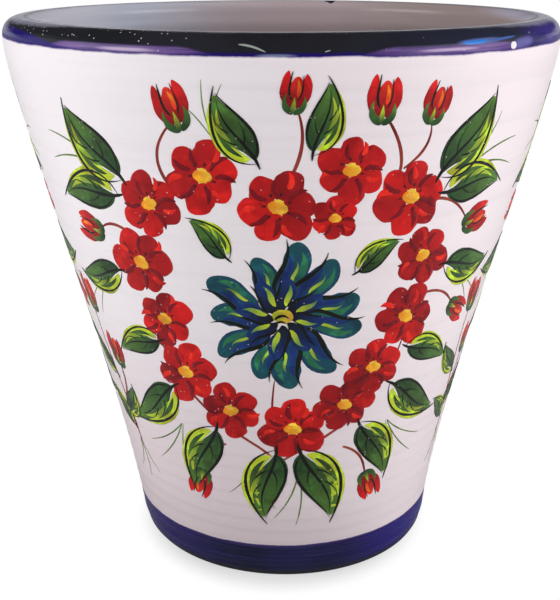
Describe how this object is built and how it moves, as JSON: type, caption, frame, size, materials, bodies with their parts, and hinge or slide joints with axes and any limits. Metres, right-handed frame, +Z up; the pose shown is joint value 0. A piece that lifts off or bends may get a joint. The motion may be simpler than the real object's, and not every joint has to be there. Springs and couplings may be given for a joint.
{
  "type": "cone planter",
  "caption": "Conical glazed earthenware planter with a thick rolled rim, a flat foot ring and one drain hole; floral painting on white glaze with cobalt rim and foot.",
  "frame": {"origin": "centre of the base, on the plane that the pot stands on", "axes": "+Z up along the pot's axis; the painted front faces -Y, with +X to its right"},
  "size_m": [0.2968, 0.2968, 0.3],
  "materials": {
    "bare_clay": "unglazed red earthenware, sponged smooth",
    "white_glaze": "glossy white tin glaze with a faint pink cast",
    "grey_glaze": "glossy pale grey lining glaze",
    "cobalt_glaze": "glossy dark cobalt, brushed on"
  },
  "bodies": {
    "root": {"clay_body": "bare_clay", "outer_glaze": "white_glaze", "inner_glaze": "grey_glaze", "rim_glaze": "cobalt_glaze", "foot_glaze": "cobalt_glaze"}
  },
  "joints": []
}
